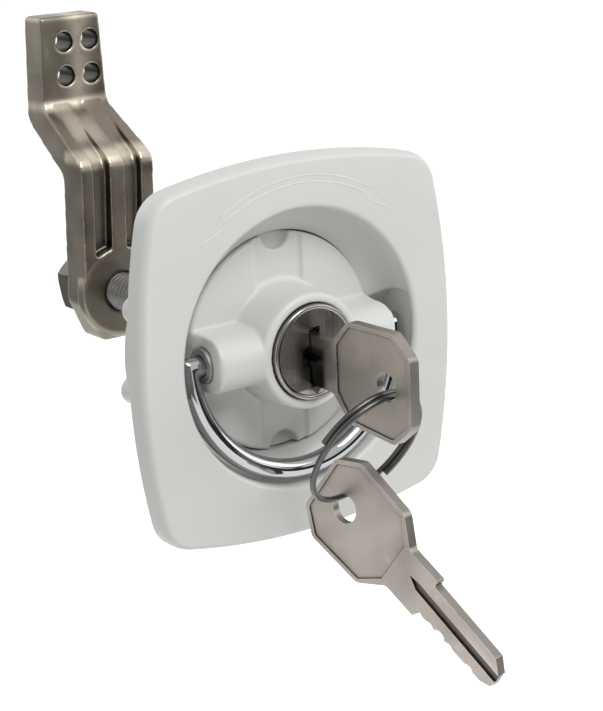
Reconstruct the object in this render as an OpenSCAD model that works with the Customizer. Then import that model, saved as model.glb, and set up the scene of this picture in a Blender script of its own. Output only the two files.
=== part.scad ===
// Locking flush latch for a hatch or locker lid.
// Millimetres, +Z up. The face plate looks along -Y and the spindle runs along +Y.
// The origin is on the spindle axis, at the back of the face plate, where the panel lies.

/* [Face plate] */
// Width of the face plate
plate_w = 70; // [68:1:80]
// Height of the face plate
plate_h = 71; // [69:1:80]
// Thickness of the face plate
plate_t = 5; // [4.6:0.2:5.6]
// Radius of the bowed sides
bow_r = 127.6; // [110:1:180]
// Radius of the plate's corners
corner_r = 7; // [4:0.5:9]
// Depth of the plate's rounded edge
crown_t = 2.4; // [2:0.1:3]
// How far the rounded edge draws in
crown_in = 1.3; // [1:0.1:2]
// Radius of the dish's rolled lip
lip_r = 1; // [0.6:0.1:1.2]
// Width of the gasket
gasket_w = 3; // [2.4:0.1:3.4]
// Thickness of the gasket
gasket_t = 1.2; // [0.8:0.1:1.6]
// Depth of the dish from the face to the rotor's disc
dish_depth = 8.3; // [8.1:0.1:8.7]

/* [Rotor] */
// Radius of the rotor's disc
rotor_r = 20.6; // [20:0.1:21.2]
// Thickness of the rotor's disc
disc_t = 3.7; // [3.4:0.1:4]
// How far the rotor's disc stands into the dish
disc_proud = 1.1; // [0.8:0.1:1.3]
// Radius of the raised hub at its front
hub_r = 10.9; // [10.6:0.1:11.4]
// How far the hub stands out of the face
hub_proud = 2.4; // [2.2:0.1:2.6]
// Radius of the hub's hollow foot
foot_r = 1.4; // [0.8:0.1:2.4]
// Radius of the rotor's journal
journal_r = 12.5; // [12.3:0.1:13]
// Radius of the rounded top of the two arms
arm_r = 5.15; // [4.9:0.05:5.3]
// Width of the channel across the rotor's disc
channel_w = 10.8; // [10:0.2:12]
// Depth of the channel
channel_d = 0.7; // [0.5:0.1:1]
// Radius of the thumb notches in the rotor's rim
notch_r = 3.2; // [2.6:0.1:3.5]
// Depth of the thumb notches
notch_d = 2.4; // [1.8:0.1:2.6]
// Radius of the rotor's tail, which holds the spindle
tail_r = 8.5; // [7.5:0.1:9.5]

/* [Pull ring] */
// Radius of the pull ring's wire
wire_r = 2; // [1.8:0.1:2.1]
// Depth of the pull ring's pivot below the face
pivot_depth = 4; // [3.8:0.1:4.2]
// Angle at which the ring rests in the dish
ring_rest = 5.5; // [4:0.5:7]

/* [Lock] */
// Radius of the lock's rolled rim
lock_r = 8.9; // [8.7:0.05:9.1]
// How far the lock stands out of the hub
lock_proud = 0.8; // [0.6:0.05:1]
// Radius of the lock plug's body
plug_r = 5.95; // [5.9:0.05:6.1]
// Travel of the locking bolt
bolt_travel = 2.8; // [2.4:0.1:2.9]

/* [Spindle and cam bar] */
// Radius of the spindle
spindle_r = 3.97; // [3.5:0.01:4.2]
// Distance from the panel seat to the cam bar
bar_y = 58.8; // [52:0.2:62]
// Width of the cam bar's lower part
bar_w = 17; // [16:0.5:19]
// Thickness of the cam bar's lower part
bar_t = 7.5; // [7:0.5:9]
// Height of the cam bar above the spindle axis
bar_top = 55.5; // [53:0.5:62]
// Step of the cam bar away from the panel
bar_step = 13; // [12:0.2:15]
// How far the lower part leans towards the panel at the bend
bar_lean = 2.3; // [1.6:0.1:2.8]
// Thickness of the cam bar's upper part
upper_t = 6.6; // [6:0.1:7.2]
// Radius of the four holes in the cam bar
bar_hole_r = 1.9; // [1.6:0.1:2.1]
// Distance between the holes across the bar
hole_dx = 6; // [5.6:0.2:6.4]
// Distance between the holes along the bar
hole_dz = 7; // [6:0.5:8]
// Distance of the holes from the middle of the bar
hole_off = 1.4; // [0:0.1:1.6]

/* [Mounting nut] */
// Room for the panel between the plate and the nut
panel_t = 5; // [3:0.5:6]
// Thickness of the mounting nut
nut_t = 5; // [4:0.5:6]
// Radius of the nut's grip lobes
lobe_r = 2.6; // [2.2:0.1:3]
// Number of grip lobes on the mounting nut
nut_lobes = 12; // [8:1:16]

/* [Keys] */
// Length of a key
key_len = 48.5; // [46:0.5:50]
// Distance from the bow's end to the shoulder that stops the key
key_neck = 29.5; // [28:0.5:31]
// Distance from the bow's end to the middle of the key's hole
key_hole_u = 6.9; // [6.5:0.1:7.4]
// How far the middle of the bow lies below that of the blade
bow_drop = 0.9; // [0.6:0.1:1.2]
// Thickness of a key
key_t = 2; // [1.6:0.1:2.1]
// Width of the raised border round the bow
key_border = 0.8; // [0.6:0.1:1.2]
// Depth of the sunk panel inside the border
key_sink = 0.25; // [0.15:0.05:0.3]
// Half height of the key's bow
bow_half = 10.05; // [9.5:0.05:11]
// Radius of the key's hole
key_hole_r = 2.7; // [2.6:0.1:3]
// Radius of the key ring's wire
key_wire_r = 0.55; // [0.4:0.05:0.6]
// Radius of the key ring, to the middle of the wire
key_ring_r = 12.1; // [12:0.05:12.3]

/* [Clearances] */
// Gap between turning parts that do not touch
gap = 0.3; // [0.3:0.05:0.4]
// Gap of a running fit, on the radius
run = 0.05; // [0.03:0.01:0.08]
// Gap between fixed parts, on the radius
fix = 0.03; // [0.02:0.01:0.05]

/* [Hidden] */
$fn = 64;
// Levels along the spindle axis
front = -plate_t;
disc_y = front + dish_depth;
disc_front = disc_y - disc_proud;
disc_back = disc_y + disc_t;
seat_y = disc_back + gap;
floor_t = 4.2;
wall_y = seat_y + floor_t;
hub_front = front - hub_proud;
bezel_t = 1.8;
bezel_y = hub_front + bezel_t;
lock_face = hub_front - lock_proud;
plug_face = lock_face + 0.2;
head_back = bezel_y - 0.9;
// The key's shoulder enters the plug's slot, and its blade sets the lock's depth
key_in = 1.26;
key_y = plug_face + key_in - key_neck;
blade_len = key_len - key_neck;
way_end = key_y + key_len + 0.7;
wafer_pitch = (blade_len - 6) / 5;
wafer_y = key_y + key_neck + 3.5;
wafer_t = 0.7;
wafer_half = 2.5;
drive_y = way_end + 1.34;
drive_t = 1.8;
shell_end = drive_y - 0.7;
cavity_y = shell_end - 2.5;
bolt_t = 2.5;
bolt_y = drive_y + drive_t + 0.4;
socket_y = bolt_y + bolt_t + 1.6;
boss_y = bolt_y + bolt_t + 2;
washer_y = boss_y + 0.1;
washer_t = 1;
clip_y = washer_y + washer_t + 0.05;
clip_t = 1.2;
journal_end = clip_y + clip_t + 1.7;
tail_end = journal_end + 7;
pin_y = journal_end + 3.6;
pin_r = 1.5;
// Radii
rim_bore = rotor_r + gap;
ring_r = rotor_r + 0.4 + wire_r;
pivot_y = front + pivot_depth;
bowl_wall = ring_r + wire_r + 0.6;
bowl_arc = bowl_wall - rim_bore;
bowl_lip = bowl_wall + lip_r + 0.35;
barrel_r = bowl_wall + 1.5;
barrel_end = wall_y;
gasket_in = barrel_r + 2.4;
gasket_out = gasket_in + gasket_w;
journal_bore = journal_r + run;
boss_r = journal_r + 5.5;
bush_r = wire_r + 1.2;
bush_len = 4.8;
bush_x = rotor_r - 0.15 - bush_len / 2;
ring_end = bush_x - bush_len / 2 + 0.45;
shell_r = plug_r + 2.05;
shell_flat = shell_r - 0.7;
shell_bore = plug_r + run;
rim_half = 0.5;
head_r = lock_r - 2 * rim_half;
head_bore = head_r + 0.08;
hub_base = hub_r + 0.5;
drive_r = 9.1;
cavity_r = drive_r + 0.5;
// Pockets for the elbows of the pull ring
pocket_x = ring_r - 0.1;
pocket_w = 3 * wire_r + 0.2;
pocket_r = 6.3;
// Scroll slot of the lock drive and the bolt's follower
follow_r = 0.7;
follow_z = 4.3;
slot_half = follow_r + 0.35;
square_half = 2.1;
bolt_half = 2.5;
bolt_tip = journal_r - 0.5;
// Seal of the rotor
seal_r = 0.65;
seal_y = disc_back + 1.4 + seal_r;
// Stop lug of the rotor
lug_r = 1.5;
lug_at = journal_r + 4.1;
// Keyway
slot_top = 4.8;
slot_low = -6.5;
key_z = -1.09;
blade_top = 3.5;
blade_low = -3.2;
way_half = key_t / 2 + 0.25;
// Cam bar
bar_back = bar_y + bar_t;
upper_y = bar_y + bar_step;
boss_front = bar_y - 1.2;
bar_boss_r = bar_w / 2 + 0.9;
// The foot of the cam bar slants in from its sides to a narrow end
foot_side = -1.7;
foot_low = -bar_boss_r - 0.7;
foot_half = bar_w / 2 - 3.8;
bend_low = 27.6;
bend_high = 37.2;
washer_gap = 1.5;
nut_y = bar_back + washer_gap;
jam_t = 4.6;
jam_r = spindle_r + 3.53;
spindle_end = nut_y + jam_t + 1.8;
holes_z = bar_top - 8.8;
// Mounting nut
nut_bore = barrel_r + 0.1;
lobe_at = barrel_r + 1.4;
turn_lobes = -20;
// The key ring hangs in the key's hole, and the spare key hangs on the ring
key_hole = [0, key_y + key_hole_u, key_z - bow_drop];
ring_drop = key_ring_r + key_hole_r - key_wire_r - 1;
ring_mid = key_hole + ring_drop * [-0.1185, 0.3698, -0.9215];
hole_at = ring_mid + key_ring_r * [-0.0372, 0.4735, -0.8777];
spare_mid = hole_at + [-2, 5.28, 2.34] + bow_drop * [0.150, -0.574, 0.805];

// A solid turned about the spindle axis from a profile of radius and y.
module turned(points) {
  rotate([-90, 0, 0])
    rotate_extrude()
      polygon(points);
}

// A disc about the spindle axis from y0 to y1.
module disc(r, y0, y1) {
  translate([0, y0, 0])
    rotate([-90, 0, 0])
      cylinder(h = y1 - y0, r = r);
}

// An outline in x and z, from y0 to y1.
module slab(y0, y1) {
  translate([0, y1, 0])
    rotate([90, 0, 0])
      linear_extrude(y1 - y0)
        children();
}

// A box from its low corner to its high corner.
module box(low, high) {
  translate(low)
    cube(high - low);
}

// Points of an arc.
function arc(c, r, from, to, n) = [
  for (i = [0:n])
    let (a = from + (to - from) * i / n)
      [c[0] + r * cos(a), c[1] + r * sin(a)]
];

function unit(v) = v / norm(v);

// The points that round one corner p between its neighbours a and b.
function corner(a, p, b, r, n = 4) =
  let (
    d1 = unit(a - p),
    d2 = unit(b - p),
    half = acos(max(-1, min(1, d1 * d2))) / 2,
    c = p + unit(d1 + d2) * r / sin(half),
    s = p + d1 * r / tan(half) - c,
    e = p + d2 * r / tan(half) - c,
    a0 = atan2(s[1], s[0]),
    turn = atan2(s[0] * e[1] - s[1] * e[0], s * e)
  )
  [for (i = [0:n]) c + r * [cos(a0 + turn * i / n), sin(a0 + turn * i / n)]];

// A closed outline with each corner rounded by its own radius.
function rounded(pts, radii) =
  let (n = len(pts))
  [
    for (i = [0:n - 1])
      for (p = corner(pts[(i + n - 1) % n], pts[i], pts[(i + 1) % n], radii[i]))
        p
  ];

// One quarter of the plate's outline, drawn in by d, from the right side to the top.
function quarter(d) =
  let (
    ax = plate_w / 2 - bow_r,
    bz = plate_h / 2 - bow_r,
    rho = bow_r - corner_r,
    across = norm([ax, bz]),
    c = [ax, bz] / 2 + unit([-bz, -ax]) * sqrt(rho * rho - across * across / 4),
    t1 = atan2(c[1], c[0] - ax),
    t2 = atan2(c[1] - bz, c[0]),
    side = arc([ax, 0], bow_r - d, 0, t1, 6),
    turn = arc(c, corner_r - d, t1, t2, 8),
    top = arc([0, bz], bow_r - d, t2, 90, 6)
  )
  concat(
    [for (i = [0:5]) side[i]],
    turn,
    [for (i = [1:6]) top[i]]
  );

// The whole outline of the plate, drawn in by d.
function plate_outline(d) =
  let (q = quarter(d), n = len(q) - 1)
  concat(
    q,
    [for (i = [n - 1:-1:0]) [-q[i][0], q[i][1]]],
    [for (i = [1:n]) [-q[i][0], -q[i][1]]],
    [for (i = [n - 1:-1:1]) [q[i][0], -q[i][1]]]
  );

// The rounded front of the plate.
module plate_crown() {
  steps = 6;
  edge_y = front + crown_t;
  rings = [
    [0.02, edge_y + 0.2],
    for (k = [0:steps])
      let (a = 90 * k / steps)
        [0.02 + (crown_in - 0.02) * (1 - cos(a)), edge_y - crown_t * sin(a)]
  ];
  n = len(plate_outline(0));
  m = len(rings) - 1;
  points = [
    for (r = rings)
      for (p = plate_outline(r[0]))
        [p[0], r[1], p[1]]
  ];
  sides = [
    for (k = [0:m - 1])
      for (i = [0:n - 1])
        let (j = (i + 1) % n)
          each [
            [(k + 1) * n + j, k * n + j, k * n + i],
            [(k + 1) * n + i, (k + 1) * n + j, k * n + i]
          ]
  ];
  back = [[for (i = [0:n - 1]) i]];
  face = [[for (i = [n - 1:-1:0]) m * n + i]];
  polyhedron(points, concat(sides, back, face));
}

module face_plate() {
  color([0.87, 0.88, 0.86])
    difference() {
      union() {
        plate_crown();
        slab(front + crown_t, 0)
          polygon(plate_outline(0));
        disc(barrel_r, -0.5, barrel_end);
        disc(boss_r, wall_y - 1, boss_y);
      }
      // Dish with a rolled lip, a steep wall and a hollow floor
      turned(concat(
        [[0, front - 1], [bowl_lip + 0.4 * lip_r, front - 1]],
        arc([bowl_lip, front + lip_r], lip_r, 270, 180, 5),
        arc([rim_bore, disc_y - bowl_arc], bowl_arc, 0, 90, 10),
        [[rim_bore, seat_y], [0, seat_y]]
      ));
      // Pockets for the elbows of the pull ring
      for (s = [-1, 1])
        translate([s * pocket_x, pivot_y, 0])
          rotate([0, 90, 0])
            cylinder(h = pocket_w, r = pocket_r, center = true);
      // Bearing bore for the rotor's journal
      disc(journal_bore, seat_y - 1, boss_y + 1);
      // Notches that the locking bolt enters
      for (a = [0:90:270])
        rotate([0, a, 0])
          box(
            [-bolt_half - gap, bolt_y - gap, -journal_r - bolt_travel - 0.6],
            [bolt_half + gap, bolt_y + bolt_t + gap, -journal_r + 1]
          );
      // Track of the rotor's stop lug, over half a turn
      translate([0, seat_y - 1, 0])
        rotate([-90, 0, 0])
          rotate([0, 0, -186.5])
            rotate_extrude(angle = 193)
              translate([lug_at - lug_r - gap, 0])
                square([2 * (lug_r + gap), 2.6]);
      // Groove for the gasket
      difference() {
        disc(gasket_out, -gasket_t, 1);
        disc(gasket_in, -gasket_t - 1, 2);
      }
    }
}

module flange_gasket() {
  color([0.1, 0.1, 0.11])
    difference() {
      disc(gasket_out - fix, -gasket_t, 0);
      disc(gasket_in + fix, -gasket_t - 1, 1);
    }
}

module mounting_nut() {
  color([0.85, 0.86, 0.84])
    slab(panel_t, panel_t + nut_t)
      difference() {
        union() {
          circle(r = lobe_at + 1);
          for (i = [0:nut_lobes - 1])
            rotate(i * 360 / nut_lobes + turn_lobes)
              translate([-lobe_at, 0])
                circle(r = lobe_r);
        }
        circle(r = nut_bore);
      }
}

// The arch of the two arms, seen along them.
module arm_section() {
  polygon(concat(
    arc([hub_front + arm_r, 0], arm_r, 90, 270, 24),
    [[disc_y + 1, -arm_r - 0.6], [disc_y + 1, arm_r + 0.6]]
  ));
}

module rotor() {
  color([0.9, 0.91, 0.89])
    difference() {
      union() {
        difference() {
          turned(concat(
            [[0, disc_back], [rotor_r, disc_back]],
            arc([rotor_r - 0.5, disc_front + 0.5], 0.5, 360, 270, 4),
            [[0, disc_front]]
          ));
          // Channel across the disc, and thumb notches at its ends
          box(
            [-channel_w / 2, disc_front - 1, -2 * rotor_r],
            [channel_w / 2, disc_front + channel_d, 2 * rotor_r]
          );
          for (s = [-1, 1])
            translate([0, disc_front - 1, s * rotor_r])
              rotate([-90, 0, 0])
                cylinder(h = notch_d + 1, r = notch_r);
        }
        // Hub that widens to a hollow foot, with a soft top edge
        turned(concat(
          [[0, disc_back - 0.5], [hub_base + foot_r, disc_back - 0.5]],
          arc([hub_base + foot_r, disc_front + channel_d + 0.2 - foot_r], foot_r, 90, 180, 8),
          arc([hub_r - 1, hub_front + 1], 1, 360, 270, 4),
          [[0, hub_front]]
        ));
        // Arms that carry the pull ring
        intersection() {
          translate([-2 * rotor_r, 0, 0])
            rotate([90, 0, 90])
              linear_extrude(4 * rotor_r)
                arm_section();
          turned(concat(
            [[0, disc_back], [rotor_r, disc_back]],
            arc([rotor_r - 1.5, hub_front + 1.5], 1.5, 360, 270, 5),
            [[0, hub_front - 1], [0, disc_back - 1]]
          ));
        }
        disc(journal_r, disc_back - 0.5, journal_end);
        disc(tail_r, journal_end - 0.5, tail_end);
        // Stop lug
        translate([0, disc_back - 0.5, lug_at])
          rotate([-90, 0, 0])
            cylinder(h = 1.9, r = lug_r);
      }
      // Seat of the lock's rim, and its bore with two flats
      disc(lock_r + 0.15, hub_front - 1, bezel_y);
      intersection() {
        disc(shell_r + fix, bezel_y - 1, cavity_y + 1);
        box([-shell_flat - fix, -50, -50], [shell_flat + fix, 50, 50]);
      }
      disc(cavity_r, cavity_y, bolt_y - 0.2);
      disc(2.6, bolt_y - 1, bolt_y + 1.4);
      // Channel of the locking bolt
      box(
        [-bolt_half - 0.2, bolt_y - 0.3, -journal_r - 2],
        [bolt_half + 0.2, bolt_y + bolt_t + 0.2, 0]
      );
      // Bores for the bushes of the pull ring
      for (s = [-1, 1])
        translate([s * (bush_x + 0.55), pivot_y, 0])
          rotate([0, 90, 0])
            cylinder(h = bush_len + 1.2, r = bush_r + fix, center = true);
      // Grooves of the seal and of the retaining ring
      difference() {
        disc(journal_r + 1, seal_y - seal_r - 0.3, seal_y + seal_r + 0.3);
        disc(journal_r - 2 * seal_r - 0.05, seal_y - 3, seal_y + 3);
      }
      difference() {
        disc(journal_r + 1, clip_y, clip_y + clip_t);
        disc(journal_r - 1, clip_y - 1, clip_y + 3);
      }
      // Socket of the spindle and its cross pin
      disc(spindle_r + fix, socket_y, tail_end + 1);
      translate([0, pin_y, 0])
        rotate([0, 90, 0])
          cylinder(h = 30, r = pin_r + fix, center = true);
    }
}

module rotor_o_ring() {
  color([0.06, 0.06, 0.07])
    translate([0, seal_y, 0])
      rotate([-90, 0, 0])
        rotate_extrude()
          translate([journal_r - seal_r, 0])
            circle(r = seal_r);
}

module thrust_washer() {
  color([0.75, 0.74, 0.7])
    difference() {
      disc(journal_r + 4, washer_y, washer_y + washer_t);
      disc(journal_r + 0.2, washer_y - 1, washer_y + washer_t + 1);
    }
}

module retaining_ring() {
  color([0.45, 0.46, 0.48])
    difference() {
      disc(journal_r + 1.6, clip_y + 0.05, clip_y + clip_t - 0.05);
      disc(journal_r - 1 + fix, clip_y - 1, clip_y + 3);
      // The opening, with two eyes for the pliers
      box([-2.2, clip_y - 1, 0], [2.2, clip_y + 3, 30]);
      for (s = [-1, 1])
        translate([s * 4, clip_y - 1, sqrt(pow(journal_r + 0.4, 2) - 16)])
          rotate([-90, 0, 0])
            cylinder(h = 4, r = 0.6);
    }
}

module pivot_bushes() {
  color([0.62, 0.62, 0.61])
    for (s = [-1, 1])
      translate([s * bush_x, pivot_y, 0])
        rotate([0, 90, 0])
          difference() {
            cylinder(h = bush_len, r = bush_r, center = true);
            cylinder(h = bush_len + 4, r = wire_r + run, center = true);
          }
}

module lock_shell() {
  color([0.72, 0.72, 0.71])
    difference() {
      union() {
        turned(concat(
          [[0, bezel_y], [lock_r, bezel_y]],
          arc([lock_r - rim_half, lock_face + rim_half], rim_half, 360, 180, 10),
          [[head_r, plug_face], [0, plug_face]]
        ));
        intersection() {
          disc(shell_r, bezel_y - 0.5, shell_end);
          box([-shell_flat, -50, -50], [shell_flat, 50, 50]);
        }
      }
      disc(head_bore, lock_face - 1, head_back);
      disc(shell_bore, lock_face - 1, shell_end + 1);
      difference() {
        disc(shell_r + 1, shell_end - 2.45, shell_end - 1.35);
        disc(shell_r - 0.9, shell_end - 3, shell_end);
      }
    }
}

module lock_clip() {
  color([0.5, 0.5, 0.52])
    difference() {
      disc(shell_r + 1.2, shell_end - 2.4, shell_end - 1.4);
      disc(shell_r - 0.9 + fix, shell_end - 4, shell_end);
      box([-2.5, shell_end - 4, 0], [2.5, shell_end, 20]);
    }
}

module spindle() {
  color([0.68, 0.68, 0.66])
    difference() {
      union() {
        disc(spindle_r, socket_y + 0.2, spindle_end - 0.8);
        turned([
          [0, spindle_end - 1],
          [spindle_r, spindle_end - 1],
          [spindle_r - 0.8, spindle_end],
          [0, spindle_end]
        ]);
      }
      translate([0, pin_y, 0])
        rotate([0, 90, 0])
          cylinder(h = 30, r = pin_r + fix, center = true);
    }
}

module spindle_pin() {
  color([0.6, 0.6, 0.6])
    translate([0, pin_y, 0])
      rotate([0, 90, 0])
        cylinder(h = 2 * tail_r - 0.4, r = pin_r, center = true);
}

// The cranked side view of the cam bar, in y and z.
module bar_side() {
  polygon(rounded(
    [
      [bar_y, foot_low], [bar_y - bar_lean, bend_low], [upper_y, bend_high],
      [upper_y, bar_top], [upper_y + upper_t, bar_top], [upper_y + upper_t, bend_high - 2.8],
      [bar_back - bar_lean, bend_low - 3], [bar_back, foot_low]
    ],
    [0.8, 4, 3, 0.6, 0.6, 4, 3, 0.8]
  ));
}

// The front view of the cam bar, in x and z.
module bar_front() {
  h = bar_w / 2;
  polygon(rounded(
    [
      [foot_half, foot_low], [h, foot_side], [h, bend_low], [h - 0.85, bend_high],
      [h - 1.6, bar_top], [-h + 1.6, bar_top], [-h + 0.85, bend_high], [-h, bend_low],
      [-h, foot_side], [-foot_half, foot_low]
    ],
    [2, 3, 2, 2, 0.8, 0.8, 2, 2, 3, 2]
  ));
}

module cam_bar() {
  color([0.42, 0.4, 0.35])
    difference() {
      union() {
        difference() {
          intersection() {
            translate([-20, 0, 0])
              rotate([90, 0, 90])
                linear_extrude(40)
                  bar_side();
            slab(bar_y - 5, upper_y + upper_t + 5)
              bar_front();
          }
          // Two grooves between the three ribs of the lower front
          for (s = [-1, 1])
            translate([s * 3.7 - 1.9, 0, 0])
              rotate([90, 0, 90])
                linear_extrude(3.8)
                  polygon(rounded(
                    [
                      [bar_y - 4, 8], [bar_y + 1.2, 8],
                      [bar_y - bar_lean + 1.9, bend_low - 0.6], [upper_y + 0.6, bend_high - 1],
                      [upper_y - 0.6, bend_high + 0.4], [upper_y - 7, bend_high + 0.4],
                      [bar_y - bar_lean - 3, bend_low + 2.4]
                    ],
                    [0.5, 0.8, 4, 1.2, 0.4, 0.5, 0.5]
                  ));
        }
        // Round boss with a light chamfer
        turned([
          [0, boss_front],
          [bar_boss_r - 0.4, boss_front],
          [bar_boss_r, boss_front + 0.4],
          [bar_boss_r, bar_y + 1.6],
          [0, bar_y + 1.6]
        ]);
      }
      disc(spindle_r + fix, boss_front - 1, bar_back + 1);
      for (x = [-1, 1])
        for (z = [-1, 1])
          translate([hole_off + x * hole_dx / 2, upper_y - 2, holes_z + z * hole_dz / 2])
            rotate([-90, 0, 0])
              cylinder(h = upper_t + 4, r = bar_hole_r);
    }
}

module lock_washer() {
  color([0.5, 0.49, 0.46])
    difference() {
      disc(spindle_r + 3, bar_back, nut_y - 0.02);
      disc(spindle_r + 0.15, bar_back - 1, nut_y + 1);
      // The split
      rotate([0, 35, 0])
        box([-0.5, bar_back - 1, 0], [0.5, nut_y + 1, 3 * spindle_r]);
    }
}

module jam_nut() {
  color([0.36, 0.33, 0.28])
    difference() {
      intersection() {
        translate([0, nut_y, 0])
          rotate([-90, 0, 0])
            rotate([0, 0, 20])
              cylinder(h = jam_t, r = jam_r, $fn = 6);
        turned([
          [0, nut_y], [jam_r - 0.8, nut_y], [jam_r + 0.1, nut_y + 0.6],
          [jam_r + 0.1, nut_y + jam_t - 0.6], [jam_r - 0.8, nut_y + jam_t], [0, nut_y + jam_t]
        ]);
      }
      disc(spindle_r + fix, nut_y - 1, nut_y + jam_t + 1);
    }
}

module pull_ring() {
  color([0.8, 0.81, 0.83])
    translate([0, pivot_y, 0])
      rotate([-ring_rest, 0, 0]) {
        rotate([90, 0, 0])
          rotate([0, 0, 180])
            rotate_extrude(angle = 180)
              translate([ring_r, 0])
                circle(r = wire_r);
        for (s = [-1, 1]) {
          translate([s * ring_r, 0, 0])
            sphere(r = wire_r);
          translate([s * (ring_r + ring_end) / 2, 0, 0])
            rotate([0, 90, 0])
              cylinder(h = ring_r - ring_end, r = wire_r, center = true);
        }
      }
}

module lock_plug() {
  color([0.66, 0.66, 0.65])
    difference() {
      union() {
        disc(head_r, plug_face, head_back - 0.1);
        disc(plug_r, head_back - 0.5, drive_y);
        box([-square_half, drive_y - 0.5, -square_half], [square_half, drive_y + drive_t, square_half]);
      }
      // Wide slot of the face and the keyway behind it
      box([-way_half, plug_face - 1, slot_low], [way_half, head_back, slot_top]);
      translate([-0.88, plug_face - 1, -0.6])
        rotate([-90, 0, 0])
          cylinder(h = 1.9, r = 2);
      box(
        [-way_half, plug_face - 1, key_z + blade_low - 0.3],
        [way_half, way_end, key_z + blade_top + 0.3]
      );
      // Slots of the five wafers
      for (i = [0:4])
        translate([0, wafer_y + wafer_pitch * i, 0])
          cube([2 * wafer_half + 0.3, wafer_t + 0.2, 3 * plug_r], center = true);
      disc(1.1, way_end + 0.2, drive_y + drive_t + 1);
    }
}

module lock_wafers() {
  color([0.74, 0.6, 0.28])
    for (i = [0:4])
      difference() {
        translate([0, wafer_y + wafer_pitch * i, 0])
          cube([2 * wafer_half, wafer_t, 2 * plug_r - 1.5], center = true);
        box(
          [-way_half - 0.1, -50, key_z + blade_low - 0.4],
          [way_half + 0.1, 50, key_z + blade_top + 0.4]
        );
      }
}

// The scroll slot: its radius grows evenly with the angle, so the bolt
// moves by the same amount for each degree that the plug turns.
function scroll(side) = [
  for (i = [0:24])
    let (
      t = i / 24,
      r = follow_z + bolt_travel * t + side * slot_half,
      a = -90 + 90 * t
    )
      [r * cos(a), r * sin(a)]
];

module lock_drive() {
  inner = scroll(-1);
  outer = scroll(1);
  color([0.55, 0.55, 0.56])
    difference() {
      disc(drive_r, drive_y, drive_y + drive_t);
      slab(drive_y - 1, drive_y + drive_t + 1)
        union() {
          polygon(concat(inner, [for (i = [24:-1:0]) outer[i]]));
          translate([0, -follow_z])
            circle(r = slot_half);
          translate([follow_z + bolt_travel, 0])
            circle(r = slot_half);
        }
      box(
        [-square_half - fix, drive_y - 1, -square_half - fix],
        [square_half + fix, drive_y + drive_t + 1, square_half + fix]
      );
    }
}

module drive_screw() {
  color([0.6, 0.58, 0.52])
    difference() {
      union() {
        disc(2.3, drive_y + drive_t, drive_y + drive_t + 1.2);
        disc(1.1 - fix, way_end + 0.5, drive_y + drive_t + 0.5);
      }
      box(
        [-3, drive_y + drive_t + 0.7, -0.3],
        [3, drive_y + drive_t + 2, 0.3]
      );
    }
}

module lock_bolt() {
  color([0.58, 0.57, 0.55])
    union() {
      box([-bolt_half, bolt_y, -bolt_tip], [bolt_half, bolt_y + bolt_t, -2.9]);
      translate([0, drive_y + 0.3, -follow_z])
        rotate([-90, 0, 0])
          cylinder(h = bolt_y - drive_y + 0.2, r = follow_r);
    }
}

// Outline of a key, from the bow's end along its length.
function key_bow() = rounded(
  [
    [0, -6.2 - bow_drop], [4.7, -bow_half - bow_drop],
    [17.1, -bow_half + 0.6 - bow_drop / 2], [22, -5],
    [key_neck, -4.75], [key_neck, blade_low + 0.3], [key_neck + 1.5, blade_low],
    [key_len - 2.2, blade_low + 0.6], [key_len, -1.6], [key_len, 1.2],
    [key_len - 2.4, blade_top], [key_neck, blade_top], [key_neck, 4.75],
    [22, 4.5], [17.1, bow_half - 0.6 - bow_drop / 2],
    [4.7, bow_half - bow_drop], [0, 6.2 - bow_drop]
  ],
  [1.6, 1.6, 2, 2, 0.5, 0.3, 0.5, 0.5, 0.4, 0.4, 0.5, 0.3, 0.4, 2, 2, 1.6, 1.6]
);

// The sunk panel of the bow.
function key_panel(d) = rounded(
  [
    [d, -6.2 - bow_drop + d / 2], [4.7 + d / 2, -bow_half - bow_drop + d],
    [17.1 - d / 3, -bow_half + 0.6 - bow_drop / 2 + d], [21.4 - d, -4.6], [21.4 - d, 4.2],
    [17.1 - d / 3, bow_half - 0.6 - bow_drop / 2 - d],
    [4.7 + d / 2, bow_half - bow_drop - d], [d, 6.2 - bow_drop - d / 2]
  ],
  [1, 1, 1, 0.8, 0.8, 1, 1, 1]
);

// A key, flat, with its length along x and its thickness centred on z = 0.
module key_blank() {
  difference() {
    translate([0, 0, -key_t / 2])
      linear_extrude(key_t)
        polygon(key_bow());
    for (s = [-1, 1]) {
      translate([0, 0, s * key_t / 2 - key_sink])
        linear_extrude(2 * key_sink)
          polygon(key_panel(key_border));
      // Groove along the blade
      translate([0, 0, s * key_t / 2 - 0.5])
        linear_extrude(1)
          polygon([
            [key_neck - 5, 0.9], [key_neck - 2.5, -0.3], [key_len + 2, -0.3],
            [key_len + 2, 1.3], [key_neck - 2.5, 1.3]
          ]);
    }
    translate([key_hole_u, -bow_drop, -3])
      cylinder(h = 6, r = key_hole_r);
    // Cuts of the code, on the lower edge
    for (i = [0:4])
      translate([key_neck + 3.5 + wafer_pitch * i, blade_low - 1.1 + 0.25 * ((i * 2) % 3), -3])
        cylinder(h = 6, r = 1.5);
  }
}

module key() {
  color([0.55, 0.52, 0.48])
    translate([0, key_y, key_z])
      rotate([90, 0, 90])
        key_blank();
}

module key_ring() {
  color([0.3, 0.3, 0.3])
    translate(ring_mid)
      rotate([-61.56, 0, 6.82]) {
        rotate_extrude()
          translate([key_ring_r, 0])
            circle(r = key_wire_r);
        // The second turn, which ends beside the first
        translate([0, 0, key_wire_r * 1.9])
          rotate([0, 0, 217])
            rotate_extrude(angle = 189)
              translate([key_ring_r, 0])
                circle(r = key_wire_r);
      }
}

module spare_key() {
  color([0.56, 0.53, 0.49])
    translate(spare_mid)
      rotate([87.11, 36.29, -80.18])
        translate([0, 0, -key_t / 2])
          key_blank();
}

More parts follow.
